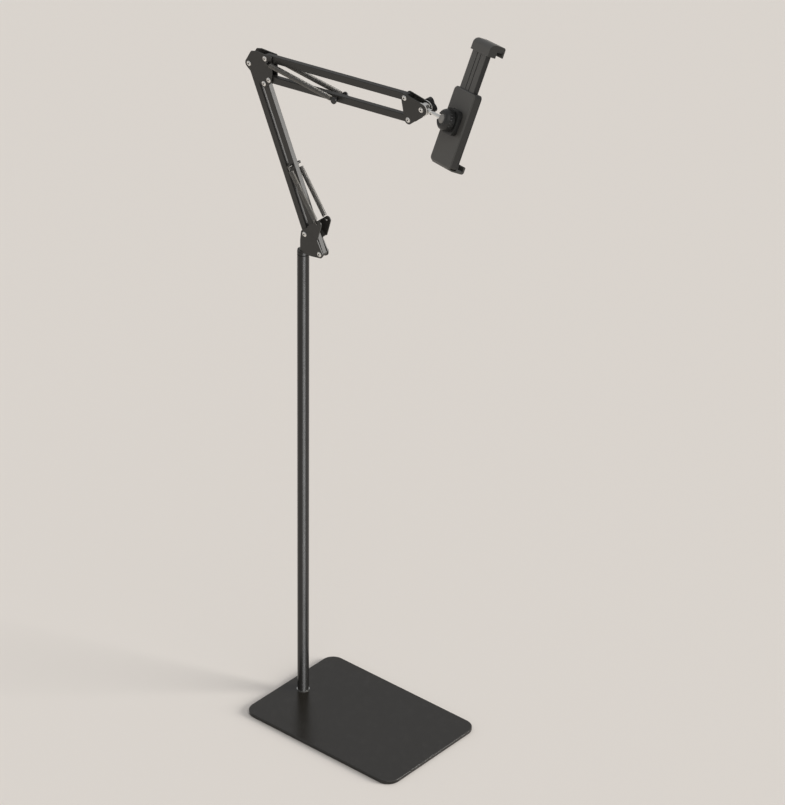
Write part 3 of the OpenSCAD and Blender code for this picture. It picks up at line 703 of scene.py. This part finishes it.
def hangSpring(name, anchors, side, hooks, shares, stoodFor, tree):
    # a spring between two bodies, in stretches cut at the shares' places along it
    start, end = anchors
    run = end - start
    turn = Matrix.Rotation(math.atan2(-run.z, run.x), 4, "Y")
    shift = Matrix.Translation(start + Vector((0, side * spring["offset"], 0)))
    wire = springPoints(run.length, *hooks, spring)
    stretches = cutWire(wire, [place * run.length for place, _ in shares[1:-1]])
    for n, (points, low, high) in enumerate(zip(stretches, shares, shares[1:]), 1):
        lowStep, highStep = stepAt(low[1]), stepAt(high[1])
        length = (high[0] - low[0]) / (highStep - lowStep)
        first = low[0] - lowStep * length
        piece = windSpring(f"{name}{n}", points, shift @ turn, spring, tree)
        start + run * first
        start + run * (first + length)
        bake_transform(piece)
        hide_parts(stoodFor)


def middleOf(node):
    low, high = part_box(node)
    return (low + high) / 2


earFromPivot = Vector((-0.9, 0, 48.6)) * mm
# place along the spring, share of the second body's turn that it takes there
lowerShares = ((0, 0), (0.785, 0.493), (0.928, 0.76), (0.95, 1))
upperShares = ((0, 0), (0.104, 0.792), (0.501, 0.99), (0.97, 1))


def dressSprings():
    tree = wireTree(finishes["spring_steel"])
    pinHook = (spring["grooveHook"], 0, spring["pinLeg"], 0, spring["pinCurl"])
    earHook = (spring["earHook"], spring["earReach"], spring["earLeg"], math.pi / 2,
               spring["earCurl"])
    lowerPin, upperPin = middleOf("lower_spring_pin"), middleOf("upper_spring_pin")
    stud = middleOf("elbow_spring_studs")
    ear = pivotJoints["lower_arm"] + earFromPivot
    for side, word in ((-1, "right"), (1, "left")):
        hangSpring(f"{word}LowerSpring", (lowerPin, ear), side, (pinHook, earHook),
                   lowerShares, f"lower_{word}_spring", tree)
        hangSpring(f"{word}UpperSpring", (stud, upperPin), side, (pinHook, pinHook),
                   upperShares, f"upper_{word}_spring", tree)


# The two springs that draw the clamp's jaws together
returnSpring = {
    "outer": 3.2 * mm,
    "wire": 0.5 * mm,
    "pitch": 1.6 * mm,       # drawn well out, as the jaws stand open
    "pointsPerTurn": 10,
    "sides": 6,
    "offset": 10 * mm,       # from the clamp's middle
    "depth": 21.4 * mm,      # from the ball's centre to the spring's line
    "anchor": -53.5 * mm,    # the pins' height in the clamp's frame
    "length": 96 * mm,       # from pin to post
    "hook": 1.85 * mm,
    "leg": 1 * mm,
    "curl": 4.5 * mm,
}


def dressReturnSprings():
    # hooked over the clamp's pins and the slider's posts
    tree = wireTree(finishes["spring_steel"])
    hook = (returnSpring["hook"], 0, returnSpring["leg"], 0, returnSpring["curl"])
    points = springPoints(returnSpring["length"], hook, hook, returnSpring)
    upright = Matrix(((0, 1, 0), (0, 0, 1), (1, 0, 0))).to_4x4()    # +X to the clamp's +Z
    for side, word in ((-1, "right"), (1, "left")):
        pin = Vector((returnSpring["depth"], side * returnSpring["offset"], returnSpring["anchor"]))
        piece = windSpring(f"{word}ReturnSpring", points,
                           clampFrame @ Matrix.Translation(pin) @ upright, returnSpring, tree)
        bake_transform(piece)
        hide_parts("clamp_springs")


dressSprings()
dressReturnSprings()
print("springs wound")


# Fasteners at the pivots
lowerRear, lowerFront = pivotJoints["lower_rear_link"], pivotJoints["lower_arm"]
elbowFront = pivotJoints["elbow_level"]
elbowLow, elbowTop = pivotJoints["upper_arm"], pivotJoints["upper_top_link"]
headLow = pivotJoints["head_level"]
pivots = {
    "shoulder": ("shoulder_nuts", [lowerRear, lowerFront]),
    "elbow": ("elbow_nuts", [lowerRear + elbowFront - lowerFront, elbowFront, elbowLow, elbowTop]),
    "head": ("head_nuts", [elbowTop + headLow - elbowLow, headLow]),
}
tiltPivot = pivotJoints["head_tilt"]
# rings on the lock nuts, the bolt heads and the tilt pivot, in millimetres: the radius is that
# of the wall's middle, and reach is how far a rim stands from the middle of the head
collar = {"radius": 2.75, "wall": 0.7, "height": 0.9, "ease": 0.2, "sides": 40}
insert = {"radius": 2.2, "wall": 0.75, "height": 0.7, "ease": 0.15, "sides": 40}
flange = {"radius": 3.2, "wall": 1.2, "height": 0.5, "ease": 0.15, "sides": 40}
# a dark hex disc in each bolt head's drive: painted shade in the recess
driveShade = {"radius": 0.77, "wall": 1.3, "height": 1.2, "ease": 0.05, "sides": 6}
tiltRim = {"radius": 7.3, "wall": 5.9, "height": 0.6, "ease": 0.15, "sides": 64, "reach": 5.5}


def addRings(name, settings, places, tree, body):
    # rings about lines along Y, each place being the middle of a ring
    values = {label.title(): settings[label] * mm for label in ("radius", "wall", "height", "ease")}
    rings = tree.run(name, pointsObject(name + "Points", places), {
        **values, "Sides": settings["sides"], "Turn": (math.pi / 2, 0, 0)})
    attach(rings, body)


def atHeight(places, height):
    return [(p.x, height, p.z) for p in places]


def dressFasteners():
    trees = {slot: ringTree(finishes[slot]) for slot in ("nickel", "nylon", "black_plastic")}
    for body, (nuts, places) in pivots.items():
        # the nuts stand on the plates' far face, and the bolt heads on the near one, its mirror
        face, top = (corner.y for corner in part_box(nuts))
        heads = places + [tiltPivot] * (body == "head")
        for name, settings, middle, spots, slot in (
                ("LockCollar", collar, top + collar["height"] / 2 * mm, places, "nickel"),
                ("LockInsert", insert, top + insert["height"] / 2 * mm, places, "nylon"),
                ("HeadFlange", flange, -face - flange["height"] / 2 * mm, heads, "nickel"),
                # dark discs that paint the shade in the bolt heads' drives
                ("HeadDrive", driveShade, -face - driveShade["height"] / 2 * mm, heads, "black_plastic")):
            addRings(body + name, settings, atHeight(spots, middle), trees[slot], body)
    reach = tiltRim["reach"] * mm
    addRings("tiltRims", tiltRim, [(tiltPivot.x, side * reach, tiltPivot.z) for side in (-1, 1)],
             trees["nickel"], "head")


dressFasteners()
print("fasteners dressed")


# Grip ribs, in millimetres in the clamp's frame
coverRibs = {"front": 28.5, "low": -46, "high": 38, "step": 2.4, "half": 15.5, "radius": 0.45}
jawRibs = {"depths": (30.6, 32.4, 34.2, 36), "radius": 0.4, "inset": 2}
nutRibs = {"count": 20, "ring": 14.75, "depth": 3.2, "half": 2.6, "radius": 0.75, "phase": 0.5}


def alongY():
    # turns a rib from its own Z to run across the clamp
    return (clampFrame @ Matrix.Rotation(math.pi / 2, 4, "X")).to_euler()


def addRibs(name, places, radius, half, turn, body, tree):
    points = pointsObject(name + "Points", [clampFrame @ (Vector(p) * mm) for p in places])
    ribs = tree.run(name, points, {
        "Length": half * mm, "Radius": radius * mm, "Turn": turn})
    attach(ribs, body)


def addPads():
    tree = ribTree(finishes["pad_rubber"])
    count = int((coverRibs["high"] - coverRibs["low"]) / coverRibs["step"]) + 1
    rows = [(coverRibs["front"], 0, coverRibs["low"] + coverRibs["step"] * n) for n in range(count)]
    addRibs("coverPadRibs", rows, coverRibs["radius"], coverRibs["half"], alongY(), "clamp",
            tree)
    back = clampFrame.inverted()
    for node, body, side in (("lower_jaw_pad", "clamp", 1), ("upper_jaw_pad", "slider", -1)):
        corners = [back @ v.co for v in nodes[node].data.vertices]
        face = (max if side > 0 else min)(corner.z for corner in corners) / mm
        half = max(corner.y for corner in corners) / mm - jawRibs["inset"]
        addRibs(node + "_ribs", [(depth, 0, face) for depth in jawRibs["depths"]],
                jawRibs["radius"], half, alongY(), body, tree)


def addNutRibs():
    tree = ribTree(finishes["black_plastic"])
    places = []
    for n in range(nutRibs["count"]):
        turn = math.tau * (n + nutRibs["phase"]) / nutRibs["count"]
        places.append((nutRibs["depth"], nutRibs["ring"] * math.cos(turn),
                       nutRibs["ring"] * math.sin(turn)))
    turn = (clampFrame @ Matrix.Rotation(math.pi / 2, 4, "Y")).to_euler()
    addRibs("socketNutRibs", places, nutRibs["radius"], nutRibs["half"], turn, "clamp",
            tree)


addPads()
addNutRibs()
print("pads and nut ribbed")


# Floor and light
studio = {
    "floorSize": 400,
    "floorColour": (0.80, 0.755, 0.705, 1),
    "floorRough": 0.85,
    "worldColour": (0.98, 0.985, 1.0, 1),
    "worldStrength": 0.476,
    "sunDistance": 4,
}
suns = [
    # name, direction towards the light, strength, angle across, colour
    ("rimLight", (0.82, 0.49, 0.29), 3.3, 24, (1.0, 0.98, 0.95)),
    ("keyLight", (0.62, -0.32, 0.80), 0.42, 50, (1.0, 0.98, 0.95)),
]
rimShaded = ("clamp_body", "clamp_cover", "clamp_slider", "upper_jaw", "lower_jaw", "socket_base",
             "socket_nut", "pole_tube", "swivel_collar", "shoulder_nuts", "shoulderLockCollar",
             "shoulderLockInsert")    # the low light misses these


def makeFloor():
    half = studio["floorSize"] / 2
    mesh = bpy.data.meshes.new("floor")
    mesh.from_pydata([(-half, -half, 0), (half, -half, 0), (half, half, 0), (-half, half, 0)],
                     [], [(0, 1, 2, 3)])
    floor = bpy.data.objects.new("floor", mesh)
    bpy.context.scene.collection.objects.link(floor)
    paper = Finish("palePaper")
    mesh.materials.append(paper.set(Base_Color=studio["floorColour"],
                                    Roughness=studio["floorRough"]))


def makeLight():
    world = bpy.data.worlds.new("studioAir")
    world.use_nodes = True
    background = world.node_tree.nodes["Background"]
    background.inputs["Color"].default_value = studio["worldColour"]
    background.inputs["Strength"].default_value = studio["worldStrength"]
    bpy.context.scene.world = world
    for name, direction, strength, spread, colour in suns:
        data = bpy.data.lights.new(name, "SUN")
        data.energy = strength
        data.angle = math.radians(spread)
        data.color = colour
        lamp = bpy.data.objects.new(name, data)
        bpy.context.scene.collection.objects.link(lamp)
        lamp.location = Vector(direction) * studio["sunDistance"]
        lamp.rotation_euler = Vector(direction).to_track_quat("Z", "Y").to_euler()
        if name == "rimLight":
            shaded = bpy.data.collections.new("rimShaded")
            for piece in rimShaded:
                shaded.objects.link(nodes.get(piece) or bpy.data.objects[piece])
            for member in shaded.collection_objects:
                member.light_linking.link_state = "EXCLUDE"
            lamp.light_linking.receiver_collection = shaded


poleStrip = {
    "azimuth": -29,         # seen from the pole, towards the camera's right
    "elevation": -30,       # under the floor, which doesn't shade it
    "distance": 2.0,
    "aimHeight": 0.4,
    "width": 1.3,
    "height": 1.5,
    "power": 150,
}


def lightPole(strip, lit):
    # a lamp that only the pole and its collar mirror, and that nothing else shades
    azimuth, elevation = math.radians(strip["azimuth"]), math.radians(strip["elevation"])
    outwards = Vector((math.cos(azimuth) * math.cos(elevation),
                       math.sin(azimuth) * math.cos(elevation), math.sin(elevation)))
    data = bpy.data.lights.new("poleStrip", "AREA")
    data.shape = "RECTANGLE"
    data.size, data.size_y = strip["width"], strip["height"]
    data.energy = strip["power"]
    lamp = bpy.data.objects.new("poleStrip", data)
    bpy.context.scene.collection.objects.link(lamp)
    lamp.location = Vector((0, 0, strip["aimHeight"])) + outwards * strip["distance"]
    lamp.rotation_euler = outwards.to_track_quat("Z", "Y").to_euler()
    mirrors = bpy.data.collections.new("poleOnly")
    for name in lit:
        mirrors.objects.link(nodes[name])
    lamp.light_linking.receiver_collection = mirrors
    lamp.light_linking.blocker_collection = mirrors


makeFloor()
makeLight()
lightPole(poleStrip, ("pole_tube", "swivel_collar"))
bpy.context.scene.view_settings.view_transform = "Standard"
print("floor and light set")
